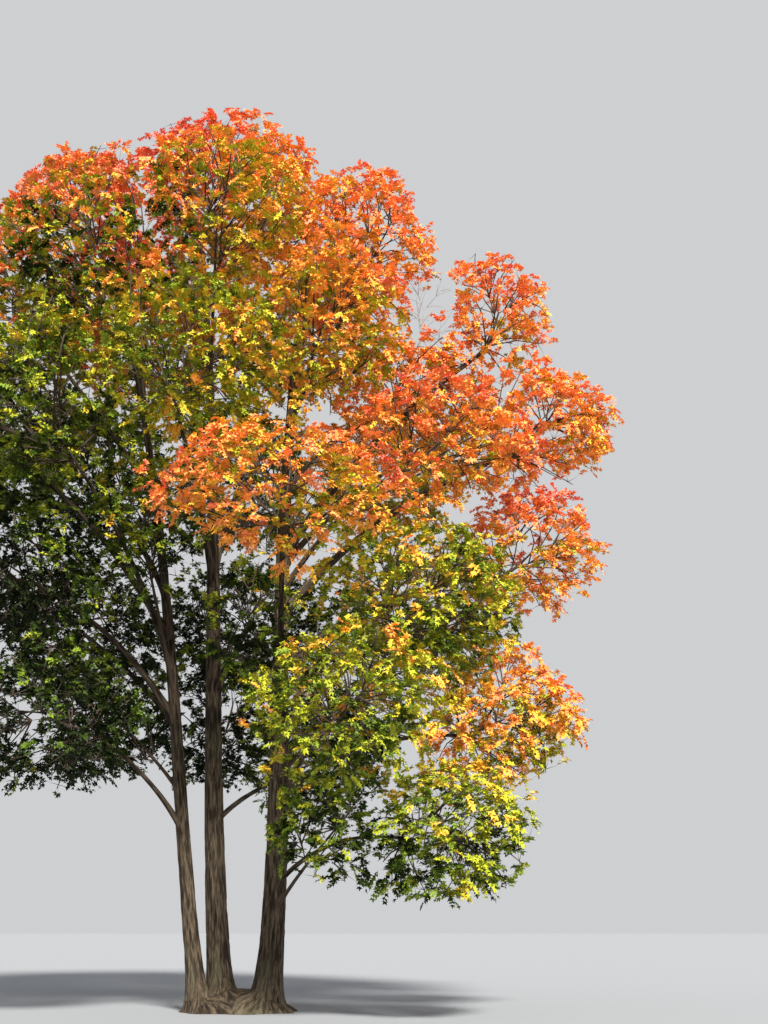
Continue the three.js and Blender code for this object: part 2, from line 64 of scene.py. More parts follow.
# Each stem: foot on the ground, two handles that bend it, tip, and radius at foot and tip.
STEMS = {
    "left_stem": {
        "path": [(-0.78, -0.16, 0), (-1.55, -0.2, 4.6), (-1.7, 0.1, 9.5), (-3.35, 0.1, 15.7)],
        "radius": (0.17, 0.055),
    },
    "middle_stem": {
        "path": [(-0.36, 0.14, 0), (-0.95, 0.3, 4.6), (-0.75, 0.35, 10.5), (-1.55, 0.15, 17.3)],
        "radius": (0.245, 0.06),
    },
    "right_stem": {
        "path": [(0.5, 0, 0), (0.95, -0.1, 4.2), (0.2, 0.1, 8.8), (1.05, 0.1, 17.0)],
        "radius": (0.265, 0.065),
    },
}

# Each bough: the limb that it leaves, how far along, its tip, its arch over its length, and foot radius.
BOUGHS = {
    "shoulder_bough": ("right_stem", 0.74, (2.3, -0.1, 15.9), -0.05, 0.075),
    "left_fork_bough": ("left_stem", 0.5, (-2.5, -1.6, 13.5), 0.0, 0.075),
    "left_mid_bough": ("left_stem", 0.47, (-4.9, -0.3, 11.2), 0.04, 0.085),
    "left_mid_front_bough": ("left_stem", 0.43, (-3.3, -2.4, 10.4), 0.06, 0.07),
    "left_low_bough": ("left_stem", 0.36, (-3.6, -1.1, 7.9), 0.05, 0.08),
    "centre_front_bough": ("middle_stem", 0.5, (-1.3, -2.7, 11.3), 0.05, 0.08),
    "lobe_top_bough": ("right_stem", 0.55, (5.0, 0.1, 14.2), 0.0, 0.105),
    "lobe_inner_bough": ("right_stem", 0.64, (2.9, 0.6, 13.0), 0.03, 0.06),
    "lobe_tip_bough": ("right_stem", 0.47, (5.2, -0.1, 11.5), 0.03, 0.1),
    "lobe_front_bough": ("right_stem", 0.5, (3.2, -1.7, 10.7), 0.05, 0.065),
    "lower_orange_bough": ("right_stem", 0.4, (5.3, -0.3, 8.8), 0.06, 0.085),
    "band_bough": ("right_stem", 0.34, (0.9, -3.6, 8.7), 0.1, 0.08),
    "right_low_bough": ("right_stem", 0.3, (2.9, -1.9, 7.0), 0.06, 0.07),
    "right_skirt_bough": ("right_stem", 0.24, (4.3, -0.9, 5.3), 0.08, 0.07),
    "front_skirt_bough": ("right_stem", 0.22, (1.9, -2.9, 5.2), 0.08, 0.06),
    "low_right_bough": ("right_stem", 0.14, (3.2, -1.9, 3.2), 0.1, 0.05),
    "left_skirt_bough": ("left_stem", 0.22, (-2.9, -1.6, 5.2), 0.05, 0.06),
}

# Each mass of foliage: what carries it, its centre, its half sizes, and how far its leaves have turned, from
# 0 for dark green over 0.5 for gold to 1 for red. Where it leaves the side of a limb instead of running on
# from its tip, how far along that is and the foot radius of its own stem follow.
MASSES = {
    "top_left_leaves": ("middle_stem", (-1.2, -0.3, 18.3), (2.1, 2.2, 2.0), 0.82),
    "top_right_leaves": ("right_stem", (-0.15, 0.7, 18.65), (1.5, 2.2, 1.95), 0.77),
    "left_shoulder_leaves": ("left_stem", (-4.4, 0.2, 17.5), (2.1, 2.2, 2.0), 0.78),
    "right_shoulder_leaves": ("shoulder_bough", (2.4, -0.1, 17.12), (1.75, 2.1, 1.85), 0.74),
    "far_left_upper_leaves": ("left_stem", (-5.8, 0.0, 15.4), (1.95, 2.3, 2.0), 0.56, 0.66, 0.07),
    "upper_left_front_leaves": ("left_fork_bough", (-3.4, -2.9, 15.5), (2.1, 2.0, 2.1), 0.54),
    "upper_front_leaves": ("middle_stem", (-0.7, -3.1, 16.1), (2.1, 2.0, 2.1), 0.64, 0.76, 0.05),
    "upper_right_front_leaves": ("right_stem", (1.6, -2.3, 14.0), (1.9, 1.9, 2.0), 0.66, 0.72, 0.05),
    "upper_left_back_leaves": ("left_stem", (-3.4, 3.1, 16.2), (2.2, 2.1, 2.2), 0.62, 0.78, 0.05),
    "upper_back_leaves": ("middle_stem", (0.5, 3.4, 16.6), (2.3, 2.1, 2.2), 0.62, 0.78, 0.05),
    "left_mid_leaves": ("left_mid_bough", (-5.9, -0.4, 12.1), (2.0, 2.4, 2.0), 0.33),
    "left_mid_front_leaves": ("left_mid_front_bough", (-4.0, -3.6, 11.6), (2.2, 2.0, 2.0), 0.37),
    "left_mid_back_leaves": ("left_stem", (-4.5, 3.7, 12.5), (2.2, 2.1, 2.0), 0.28, 0.52, 0.075),
    "centre_front_leaves": ("centre_front_bough", (-1.0, -4.1, 12.4), (2.2, 1.9, 2.0), 0.5),
    "centre_back_leaves": ("middle_stem", (-0.9, 4.6, 12.8), (2.3, 2.0, 2.0), 0.36, 0.5, 0.085),
    "right_back_leaves": ("right_stem", (3.0, 3.9, 12.8), (2.0, 2.0, 1.9), 0.58, 0.52, 0.08),
    "lobe_top_leaves": ("lobe_top_bough", (5.55, 0.1, 15.35), (1.35, 1.6, 1.6), 0.76),
    "lobe_inner_leaves": ("lobe_inner_bough", (3.9, 0.7, 13.6), (1.7, 1.8, 1.6), 0.7),
    "lobe_tip_leaves": ("lobe_tip_bough", (6.35, -0.1, 12.4), (2.05, 1.8, 1.6), 0.78),
    "lobe_front_leaves": ("lobe_front_bough", (4.1, -2.4, 11.2), (1.9, 1.6, 1.5), 0.74),
    "lower_orange_leaves": ("lower_orange_bough", (6.05, -0.5, 9.3), (1.75, 1.7, 1.4), 0.8),
    "band_leaves": ("band_bough", (0.9, -4.9, 9.3), (2.4, 1.7, 1.4), 0.7),
    # Turned this little, this mass takes the darkest greens, which paint the shade on the low left of the
    # crown as well as its green leaves.
    "left_low_leaves": ("left_low_bough", (-4.8, -2.0, 8.6), (2.2, 2.1, 1.8), 0.1),
    "right_low_leaves": ("right_low_bough", (3.6, -2.8, 7.7), (2.2, 1.9, 1.7), 0.4),
    "right_skirt_leaves": ("right_skirt_bough", (5.3, -1.1, 5.6), (1.8, 1.9, 1.6), 0.66),
    "front_skirt_leaves": ("front_skirt_bough", (2.2, -4.1, 5.4), (2.0, 1.7, 1.6), 0.41),
    "low_right_leaves": ("low_right_bough", (4.0, -2.9, 3.2), (1.9, 1.8, 1.4), 0.38),
    "back_right_low_leaves": ("right_stem", (4.0, 3.8, 8.8), (2.3, 2.1, 1.9), 0.4, 0.36, 0.08),
    "back_low_leaves": ("middle_stem", (-0.6, 4.9, 8.8), (2.3, 2.0, 1.9), 0.18, 0.34, 0.08),
    "left_back_low_leaves": ("left_stem", (-4.6, 3.4, 8.5), (2.2, 2.2, 1.9), 0.14, 0.34, 0.075),
    # Turned this little, this mass takes the darkest greens, which paint the shade on the low left of the
    # crown as well as its green leaves.
    "left_skirt_leaves": ("left_skirt_bough", (-3.7, -2.5, 5.4), (2.1, 1.9, 1.6), 0.11),
    "inner_back_leaves": ("middle_stem", (-0.9, 2.3, 5.9), (1.7, 1.5, 1.7), 0.14, 0.26, 0.045),
    "inner_right_leaves": ("right_stem", (1.9, 1.7, 6.2), (1.6, 1.6, 1.7), 0.3, 0.26, 0.045),
    "inner_left_leaves": ("left_stem", (-3.1, 1.0, 6.0), (1.6, 1.7, 1.6), 0.12, 0.26, 0.045),
    "inner_upper_leaves": ("left_stem", (-2.2, -2.0, 9.6), (1.5, 1.4, 1.5), 0.3, 0.39, 0.045),
    "inner_front_leaves": ("middle_stem", (0.1, -1.3, 7.6), (1.1, 1.1, 1.4), 0.26, 0.36, 0.03),
    "low_front_leaves": ("right_stem", (2.0, -2.5, 3.4), (1.5, 1.4, 1.3), 0.33, 0.1, 0.045),
    "back_skirt_leaves": ("middle_stem", (1.2, 4.4, 5.4), (2.0, 1.8, 1.7), 0.24, 0.2, 0.06),
    "dead_twigs": ("lobe_top_bough", (3.8, 0.2, 15.5), (0.9, 1.0, 1.15), None, 0.66, 0.025),
}
MASS_NAMES = list(MASSES)
MASS_AT = np.array([MASSES[name][1] for name in MASS_NAMES])
MASS_SIZE = np.array([MASSES[name][2] for name in MASS_NAMES])
LEAFY = np.array([MASSES[name][3] is not None for name in MASS_NAMES])
MASS_TURNED = np.array([MASSES[name][3] or 0.0 for name in MASS_NAMES])

# Foliage finer than the solids show: twigs carry tufts, tufts clumps, clumps sprays, and sprays leaves.
TUFT_SPACING = 0.75  # m between tufts on the outside of the crown
TUFT_DEPTH = (0.5, 0.82)  # how far out they sit, over the reach of their space
TUFT_SPREAD = 0.7  # below 1 more of them sit far out
TUFT_SEARCH = {"from": 0.3, "to": 1.4, "steps": 45, "least": 4}  # for the reach, in half sizes of the mass
DEEP = 2.9  # closeness to the masses that counts as deep, with 1 on the outside
INNER_TUFTS = 0.16  # share of the deep ones that are grown
OPENINGS = {"size": 1.1, "below": 0.12, "seed": 21}  # patches of this size in m with no tufts, by noise
TUFT_RADIUS = 0.3
TUFT_CAP = 1.15  # how far round a tuft its clumps reach: 1 is half way, 2 is all round
TUFT_AXIS = {"up": 0.8, "outward": 0.7, "chance": 0.6}  # what turns a tuft's rounded side
CLUMPS = 6  # in a tuft
CLUMP_SHIFT = 0.16  # m, by chance
SPRAYS = 4  # in a clump
SPRAY_OPENING = (0.35, 1.15)  # how far the sprays of a clump lean apart, as a slope
SPRAY_LENGTH = (0.1875, 0.3125)
SPRAY_FACE = {"heading": 0.6, "chance": 1.0}  # what turns a spray's face from straight up
SPRAY_LIMIT = (0.78, 1.0)  # of the reach of their space, by tuft, which makes the outline feathery
SPRAY_MARGIN = 0.1  # m past a spray's tip that has to be inside too, for its last leaves
LEAF_NODES = 5  # on a spray, each with a pair of leaves
LEAF_LENGTH = (0.078, 0.11)
SPRAY_DROOP = 0.08  # m at the tip

# Radii in m, and numbers of sides and steps, of what carries the foliage.
MAIN_TWIG = {"foot": 0.5, "tip": 0.28, "steps": 9, "sides": 5}  # over its stem's radius, and over its foot's
TUFT_TWIG = {"foot": 0.015, "tip": 0.007, "steps": 3, "sides": 3}
CLUMP_TWIG_RADIUS = 0.007
CLUMP_TWIG_FOOT = 0.85  # how far along the second half of the tuft's twig it leaves
SPRAY_RADIUS = 0.004
MOST_PIECE_TRIANGLES = 200000

UP = np.array([0.0, 0.0, 1.0])


def unit(v):
    return v / np.maximum(np.linalg.norm(v, axis=-1, keepdims=True), 1e-9)


def sideways(along, skew):
    """Two directions square to each unit direction and to each other. skew is any that none runs along."""
    side = unit(np.cross(along, skew))
    return side, np.cross(along, side)


def chance(a, b):
    """The source's number from 0 to 1 that depends only on two others. What the calls below add to a seed
    only keeps one kind of chance apart from the next."""
    wave = np.sin(np.asarray(a) * 12.9898 + np.asarray(b) * 78.233) * 43758.5453
    return wave - np.floor(wave)


def noise(points, seed=0):
    """Smooth noise from 0 to 1, with one bump for each unit of length."""
    cell = np.floor(points)
    ease = points - cell
    ease = ease * ease * (3 - 2 * ease)
    total = 0
    for corner in np.ndindex(2, 2, 2):
        at = cell + corner
        key = at @ (1.0, 57.0, 113.0)
        weight = np.prod(np.where(corner, ease, 1 - ease), axis=-1)
        total = total + weight * chance(key, seed + 0.37)
    return total


LINE_POINTS = 201
ALONG_STEP = 0.005  # share of a line over which its direction is read, to either side


class Line:
    """A Bezier curve measured by shares of its length."""

    def __init__(self, *handles):
        t = np.linspace(0, 1, LINE_POINTS)[:, None]
        points = [np.array(h, float)[None] for h in handles]
        while len(points) > 1:
            points = [a + (b - a) * t for a, b in zip(points, points[1:])]
        self.points = points[0]
        steps = np.linalg.norm(np.diff(self.points, axis=0), axis=1)
        self.length = steps.sum()
        self.shares = np.concatenate([[0], np.cumsum(steps)]) / self.length

    def at(self, share):
        return np.stack([np.interp(share, self.shares, self.points[:, i]) for i in range(3)], -1)

    def along(self, share):
        share = np.clip(share, ALONG_STEP, 1 - ALONG_STEP)
        return unit(self.at(share + ALONG_STEP) - self.at(share - ALONG_STEP))


# The lines of all limbs, worked out as the source does.
def bough_line(lines, bough):
    limb, share, tip, arch, _ = bough
    foot = lines[limb].at(share)
    along = lines[limb].along(share)
    tip = np.array(tip)
    length = np.linalg.norm(tip - foot)
    knee = foot + (tip - foot) * KNEE["along"] + along * KNEE["ahead"] * length + UP * arch * length
    return Line(foot, knee, tip)


def mass_stem_line(lines, mass):
    limb, middle, _, _, *side = mass
    share = side[0] if side else 1.0
    start = lines[limb].at(share)
    along = lines[limb].along(share)
    lead = MASS_STEM_LEAD["at_side" if side else "at_tip"]
    reach = np.linalg.norm(np.array(middle) - start)
    return Line(start, start + along * lead * reach, middle)


def mass_stem_radius(mass):
    limb, _, _, _, *side = mass
    if side:
        return side[1]
    return STEMS[limb]["radius"][1] if limb in STEMS else BOUGHS[limb][4] * LIMB_TIP_SHARE


def all_lines():
    lines = {name: Line(*stem["path"]) for name, stem in STEMS.items()}
    lines.update({name: bough_line(lines, bough) for name, bough in BOUGHS.items()})
    return lines


# Meshes from arrays.
def mesh_piece(name, points, triangles, materials, tints=None, smooth=False, fields=None):
    """A piece of the tree, which rides on the one body. fields are named values at its points."""
    assert len(triangles) < MOST_PIECE_TRIANGLES, (name, len(triangles))
    mesh = bpy.data.meshes.new(name)
    mesh.vertices.add(len(points))
    mesh.vertices.foreach_set("co", points.astype(np.float32).ravel())
    mesh.loops.add(triangles.size)
    mesh.loops.foreach_set("vertex_index", triangles.astype(np.int32).ravel())
    mesh.polygons.add(len(triangles))
    mesh.polygons.foreach_set("loop_start", np.arange(0, triangles.size, 3, dtype=np.int32))
    for material in materials:
        mesh.materials.append(material)
    if tints is not None:
        mesh.polygons.foreach_set("material_index", tints.astype(np.int32))
    mesh.polygons.foreach_set("use_smooth", np.full(len(triangles), smooth))
    for field, values in (fields or {}).items():
        kind = "FLOAT" if values.ndim == 1 else "FLOAT_VECTOR"
        attribute = mesh.attributes.new(field, kind, "POINT")
        slot = "value" if values.ndim == 1 else "vector"
        attribute.data.foreach_set(slot, values.astype(np.float32).ravel())
    mesh.update(calc_edges=True)
    piece = bpy.data.objects.new(name, mesh)
    bpy.context.scene.collection.objects.link(piece)
    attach(piece, "root")
    return piece


def joined(parts):
    """One pair of arrays from several (points, triangles)."""
    starts = np.cumsum([0] + [len(points) for points, _ in parts])
    points = np.concatenate([points for points, _ in parts])
    return points, np.concatenate([triangles + start for (_, triangles), start in zip(parts, starts)])


def ring_angles(sides):
    return np.arange(sides) * 2 * np.pi / sides


def grid_triangles(steps, sides):
    """The side faces of a tube of rings, and a cap on its last ring."""
    ring, side = np.meshgrid(np.arange(steps - 1), np.arange(sides), indexing="ij")
    a = ring * sides + side
    b = ring * sides + (side + 1) % sides
    walls = np.stack([a, b, b + sides, a, b + sides, a + sides], -1).reshape(-1, 3)
    last = (steps - 1) * sides
    cap = [(last, last + i, last + i + 1) for i in range(1, sides - 1)]
    return np.concatenate([walls, np.array(cap)])


TWIG_SKEW = (0.31, 0.17, 0.93)


def twig_tubes(paths, radii, sides):
    """Many thin limbs at once: paths is (limbs, steps, 3), and radii is (limbs, steps)."""
    count, steps = radii.shape
    side, other = sideways(unit(paths[:, -1] - paths[:, 0]), TWIG_SKEW)
    angle = ring_angles(sides)
    ring = np.cos(angle)[None, :, None] * side[:, None] + np.sin(angle)[None, :, None] * other[:, None]
    points = paths[:, :, None] + radii[:, :, None, None] * ring[:, None]
    offsets = np.arange(count)[:, None, None] * steps * sides
    return points.reshape(-1, 3), (grid_triangles(steps, sides)[None] + offsets).reshape(-1, 3)


def spikes(feet, spans, radius):
    """Many slim three-sided spikes, open at the foot."""
    side, other = sideways(unit(spans), TWIG_SKEW)
    angle = ring_angles(3)
    ring = np.cos(angle)[None, :, None] * side[:, None] + np.sin(angle)[None, :, None] * other[:, None]
    base = feet[:, None] + radius * ring
    points = np.concatenate([base, (feet + spans)[:, None]], axis=1)
    triangles = np.array([(0, 1, 3), (1, 2, 3), (2, 0, 3)])
    offsets = np.arange(len(feet))[:, None, None] * 4
    return points.reshape(-1, 3), (triangles[None] + offsets).reshape(-1, 3)


def bent_paths(feet, knees, tips, steps):
    t = np.linspace(0, 1, steps)[None, :, None]
    return feet[:, None] * (1 - t) ** 2 + knees[:, None] * 2 * t * (1 - t) + tips[:, None] * t**2


# Bark: long plates with furrows between them that run along the limb.
BARK_PLATE = {"across": 0.04, "along": 0.3}
BARK_WARP = {"by": 0.5, "size": 2.0}  # in plates
BARK_DEPTH = 0.018
BARK_DEPTH_SHARE = 0.08  # of the limb's radius, at most
BARK_LEVEL = {"limb": 0.6, "root_crown": 0.4}  # the height of bark that lies on the solid's own surface
BARK_SEEDS = {"root_crown": 3, "stem": 10, "bough": 30, "mass_stem": 50}
FURROW = {"fine": 2.1, "fine_share": 0.4, "below": 0.33, "above": 0.63}


def bark_height(flow, seed):
    """From 0 in a furrow to 1 on a plate, for places given as two across and one along the limb."""
    q = flow / (BARK_PLATE["across"], BARK_PLATE["across"], BARK_PLATE["along"])
    slow = q / BARK_WARP["size"]
    warp = np.stack([noise(slow, seed + 1), noise(slow, seed + 2), noise(slow, seed + 3)], -1)
    q = q + BARK_WARP["by"] * warp
    coarse = noise(q, seed)
    fine = noise(q * FURROW["fine"], seed + 5)
    rough = coarse + FURROW["fine_share"] * (fine - coarse)
    return np.clip((rough - FURROW["below"]) / (FURROW["above"] - FURROW["below"]), 0, 1)


ACROSS = (0.05, 1.0, 0.02)  # the first ring of a limb starts square to this


def outward_rings(directions, angle):
    """Straight out from a limb at each of its steps and angles, turned as little as possible from step to
    step."""
    side = unit(np.cross(directions[0], ACROSS))
    sides = []
    for direction in directions:
        side = unit(side - direction * (side @ direction))
        sides.append(side)
    side = np.array(sides)[:, None]
    other = np.cross(directions, sides)[:, None]
    return np.cos(angle)[None, :, None] * side + np.sin(angle)[None, :, None] * other


def bark_tube(line, shares, radius_at, sides, seed):
    """A limb with bark relief: points, triangles, the flow of the bark, and its height."""
    angle = ring_angles(sides)
    radius = np.broadcast_to(radius_at(shares[:, None], angle[None, :]), (len(shares), sides))
    along = np.broadcast_to((shares * line.length)[:, None], radius.shape)
    flow = np.stack([radius * np.cos(angle), radius * np.sin(angle), along], -1)
    height = bark_height(flow, seed)
    depth = np.minimum(BARK_DEPTH, BARK_DEPTH_SHARE * radius)
    reach = radius + depth * (height - BARK_LEVEL["limb"])
    points = line.at(shares)[:, None] + reach[..., None] * outward_rings(line.along(shares), angle)
    return points.reshape(-1, 3), grid_triangles(len(shares), sides), flow.reshape(-1, 3), height.ravel()


def bark_piece(name, tube, bark, node=None):
    """A piece in bark from points, triangles, flow and height. It replaces the node if there is one."""
    points, triangles, flow, height = tube
    fields = {"flow": flow, "plate": height}
    piece = mesh_piece(name, points, triangles, [bark], smooth=True, fields=fields)
    if node:
        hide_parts(node)


# Stems and boughs.
STEM_START = 0.25  # m along the stem, inside the root crown
STEM_SIDES = 88
STEM_STEP = 0.075
COLLAR = {"swell": 0.55, "length": 0.22}  # the swelling where a bough leaves its stem
BOUGH_SIDES = 18
BOUGH_STEP = 0.075


def stem_radius_at(stem, index, length):
    foot, tip = stem["radius"]

    def radius_at(share, angle):
        fade = np.exp(-(share * length) / FLARE_HEIGHT)
        ridge = 1 + RIDGE_DEPTH * fade * np.cos(ROOT_RIDGES * angle + index)
        return (foot + (tip - foot) * share**STEM_TAPER) * (1 + FLARE * fade) * ridge

    return radius_at


def bough_radius_at(foot_radius, length):
    def radius_at(share, _):
        collar = 1 + COLLAR["swell"] * np.exp(-share * length / COLLAR["length"])
        return foot_radius * (1 - (1 - LIMB_TIP_SHARE) * share) * collar

    return radius_at


def make_stems(lines, bark):
    for index, (name, stem) in enumerate(STEMS.items()):
        line = lines[name]
        shares = np.linspace(STEM_START / line.length, 1, int(line.length / STEM_STEP))
        radius_at = stem_radius_at(stem, index, line.length)
        tube = bark_tube(line, shares, radius_at, STEM_SIDES, BARK_SEEDS["stem"] + index)
        bark_piece(name + "_bark", tube, bark, node=name)


def make_boughs(lines, bark):
    for index, (name, bough) in enumerate(BOUGHS.items()):
        line = lines[name]
        shares = np.linspace(0, 1, int(line.length / BOUGH_STEP))
        radius_at = bough_radius_at(bough[4], line.length)
        tube = bark_tube(line, shares, radius_at, BOUGH_SIDES, BARK_SEEDS["bough"] + index)
        bark_piece(name + "_bark", tube, bark, node=name)


# Root crown: the flared feet of the stems grown into one stool.
CROWN_VOXEL = 0.02
CROWN_SMOOTHING = {"times": 6, "by": 0.6}
CROWN_TOP = 0.62  # m along a stem
CROWN_SWELL = 1.02  # of its feet, over the stems' own radius
CROWN_SHRINK = 0.07  # by which its upper rim draws in under the stems' bark
CROWN_EDGE = 0.05  # m above the ground by which the relief has set in
FOOT_SIDES = 48
FOOT_RINGS = 14
FLOW_RADIUS = 0.5  # m from a stem's axis at which the bark's pattern has its true width


def mound_mesh():
    """The old stool between the stems, a low dome with roots round it."""
    share = np.linspace(0, 1, FOOT_RINGS)[:, None]
    angle = ring_angles(FOOT_SIDES)
    width = MOUND["radius"] * (2 / np.pi) * np.arccos(MOUND["peak"] * share)
    radius = width * (1 + MOUND_ROOTS["depth"] * (1 - share) * np.cos(MOUND_ROOTS["count"] * angle))
    points = radius[..., None] * outward_rings(UP[None], angle) * (MOUND["stretch"], 1, 1)
    points = points + (share * MOUND["height"])[..., None] * UP
    return points.reshape(-1, 3), grid_triangles(FOOT_RINGS, FOOT_SIDES)


def foot_mesh(line, stem, index):
    """The foot of a stem, drawn in near its top so that it ends under the stem's bark."""
    shares = np.linspace(0, CROWN_TOP / line.length, FOOT_RINGS)
    angle = ring_angles(FOOT_SIDES)
    rise = shares * line.length / CROWN_TOP
    radius = stem_radius_at(stem, index, line.length)(shares[:, None], angle[None])
    radius = radius * (CROWN_SWELL - CROWN_SHRINK * rise[:, None] ** 2)
    points = line.at(shares)[:, None] + radius[..., None] * outward_rings(line.along(shares), angle)
    return points.reshape(-1, 3), grid_triangles(FOOT_RINGS, FOOT_SIDES)


def closed_foot(points, triangles):
    """Adds the cap on the first ring that a solid needs."""
    cap = np.array([(0, i + 1, i) for i in range(1, FOOT_SIDES - 1)])
    return points, np.concatenate([triangles, cap])


def grown_together(points, triangles):
    """One smooth skin round several solids: its points, their normals, and its triangles."""
    rough = bpy.data.meshes.new("rough_root_crown")
    rough.from_pydata(points.tolist(), [], triangles.tolist())
    holder = bpy.data.objects.new("rough_root_crown", rough)
    bpy.context.scene.collection.objects.link(holder)
    remesh = holder.modifiers.new("fuse", "REMESH")
    remesh.mode = "VOXEL"
    remesh.voxel_size = CROWN_VOXEL
    soften = holder.modifiers.new("soften", "SMOOTH")
    soften.iterations = CROWN_SMOOTHING["times"]
    soften.factor = CROWN_SMOOTHING["by"]
    skin = bpy.data.meshes.new_from_object(holder.evaluated_get(bpy.context.evaluated_depsgraph_get()))
    bpy.data.objects.remove(holder)
    skin.calc_loop_triangles()
    points = np.zeros((len(skin.vertices), 3))
    normals = np.zeros((len(skin.vertices), 3))
    triangles = np.zeros((len(skin.loop_triangles), 3), dtype=np.int32)
    skin.vertices.foreach_get("co", points.ravel())
    skin.vertices.foreach_get("normal", normals.ravel())
    skin.loop_triangles.foreach_get("vertices", triangles.ravel())
    return points, normals, triangles


def foot_flow(lines, points):
    """The bark's flow on the root crown: down each stem and away from it over the ground."""
    axes = np.array([lines[name].points[0] for name in STEMS])
    offsets = points[:, None, :2] - axes[None, :, :2]
    nearest = np.argmin(np.linalg.norm(offsets, axis=2), axis=1)
    offset = offsets[np.arange(len(points)), nearest]
    away = np.linalg.norm(offset, axis=1)
    round_stem = FLOW_RADIUS * offset / np.maximum(away, 0.01)[:, None] + nearest[:, None]
    return np.column_stack([round_stem, points[:, 2] - away])


def make_root_crown(lines, bark):
    parts = [closed_foot(*mound_mesh())]
    for index, (name, stem) in enumerate(STEMS.items()):
        parts.append(closed_foot(*foot_mesh(lines[name], stem, index)))
    points, normals, triangles = grown_together(*joined(parts))
    flow = foot_flow(lines, points)
    height = bark_height(flow, BARK_SEEDS["root_crown"])
    relief = BARK_DEPTH * (height[:, None] - BARK_LEVEL["root_crown"])
    points = points + normals * relief * np.clip(points[:, 2:] / CROWN_EDGE, 0, 1)
    points[:, 2] = np.where(points[:, 2] < CROWN_VOXEL, 0, points[:, 2])
    bark_piece("root_crown_bark", (points, triangles, flow, height), bark, node="root_crown")


# Foliage: the source's rule for spaces and directions, then finer twigs.
GOLDEN_ANGLE = np.pi * (3 - np.sqrt(5))
TWIG_BEND = {"along": 0.12, "up": 0.05}
TUFT_TWIG_BEND = {"along": 0.2, "up": 0.04}
TUFT_TWIG_GROWTH = (0.8, 0.4)  # over its plain radius: the least, and more for each metre of its span
SPRAY_SKEW = (0.3, 0.8, 0.1)
JUST_OUTSIDE = 1.03
EASY_ANGLE = 1.5  # above 1: a lower one puts an easy angle further before a short way


def space_measures(points):
    """Each place's distance from the middle of each mass, over the mass's half size that way."""
    measures = np.linalg.norm((points[..., None, :] - MASS_AT) / MASS_SIZE, axis=-1)
    return np.maximum(measures, LEAST_MEASURE)


def crown_closeness(points):
    """How deep in the crown each place is, with 1 on its outside, and the number of the nearest mass."""
    measure = space_measures(points)
    return (measure ** -SPACE_BLEND).sum(-1), measure.argmin(-1)


def own_space(points, index, limit=1.0):
    """True where a point lies in the crown and nearer to this mass than to any other."""
    closeness, nearest = crown_closeness(points)
    return (closeness > limit ** -SPACE_BLEND) & (nearest == index)


def even_directions(count, seed):
    i = np.arange(count)
    height = 1 - (2 * i + 1) / count
    turn = i * GOLDEN_ANGLE + seed * SEED_TURN
    flat = np.sqrt(1 - height * height)
    return np.stack([flat * np.cos(turn), flat * np.sin(turn), height], -1)


def fork_shares(line, tips):
    """How far along its stem each twig leaves, so that it reaches its tip at the fork angle."""
    start = line.points[0]
    axis = line.points[-1] - start
    length = np.linalg.norm(axis)
    to_tip = tips - start
    along = to_tip @ (axis / length)
    aside = np.linalg.norm(to_tip - along[:, None] * axis / length, axis=1)
    return np.clip((along - aside / np.tan(FORK_ANGLE)) / length, *TWIG_FEET)


def forked_paths(feet, along, tips, bend, steps):
    """Twigs that run on a little with what carries them and then bend to their tips, and their spans."""
    span = np.linalg.norm(tips - feet, axis=1, keepdims=True)
    knees = (feet + tips) / 2 + along * bend["along"] * span + UP * bend["up"] * span
    return bent_paths(feet, knees, tips, steps), span


def main_twigs(line, stem_radius, mass, seed):
    """The source's twigs: bent paths and radii."""
    _, middle, size, turned, *_ = mass
    count = TWIGS["bare"] if turned is None else round(TWIGS["leafy_per_metre"] * sum(size))
    reach = TWIG_REACH + TWIG_REACH_SPREAD * chance(seed, np.arange(count))
    tips = np.array(middle) + np.array(size) * even_directions(count, seed) * reach[:, None]
    shares = fork_shares(line, tips)
    steps = MAIN_TWIG["steps"]
    paths, _ = forked_paths(line.at(shares), line.along(shares), tips, TWIG_BEND, steps)
    foot_radii = MAIN_TWIG["foot"] * stem_radius * (1 - MASS_STEM_TAPER * shares)
    return paths, foot_radii[:, None] * np.linspace(1, MAIN_TWIG["tip"], steps)[None]


def tuft_places(index, seed):
    """An even spread of tufts near the outside of the mass's own space, and their outward directions."""
    middle = MASS_AT[index]
    size = MASS_SIZE[index]
    count = int(4 * np.pi * np.mean(size) ** 2 / TUFT_SPACING**2)
    keys = np.arange(count)
    outward = even_directions(count, seed + 0.43)
    shares = np.linspace(TUFT_SEARCH["from"], TUFT_SEARCH["to"], TUFT_SEARCH["steps"])
    inside = own_space(middle + size * outward[:, None] * shares[None, :, None], index)
    steps_inside = np.where(inside.all(1), len(shares), inside.argmin(1))
    edge = shares[np.maximum(steps_inside - 1, 0)]
    low, high = TUFT_DEPTH
    depth = edge * (low + (high - low) * chance(seed + 11, keys) ** TUFT_SPREAD)
    places = middle + size * outward * depth[:, None]
    beyond = middle + size * outward * (edge * JUST_OUTSIDE)[:, None]
    outer = crown_closeness(beyond)[0] < DEEP
    grown_outside = noise(places / OPENINGS["size"], OPENINGS["seed"]) > OPENINGS["below"]
    grown_inside = chance(seed + 31, keys) < INNER_TUFTS
    kept = (steps_inside >= TUFT_SEARCH["least"]) & np.where(outer, grown_outside, grown_inside)
    return places[kept], outward[kept]


def jitter(count, seed, amount):
    keys = np.arange(count)
    return amount * (np.stack([chance(keys, seed + k) for k in (0.1, 0.2, 0.3)], -1) - 0.5)


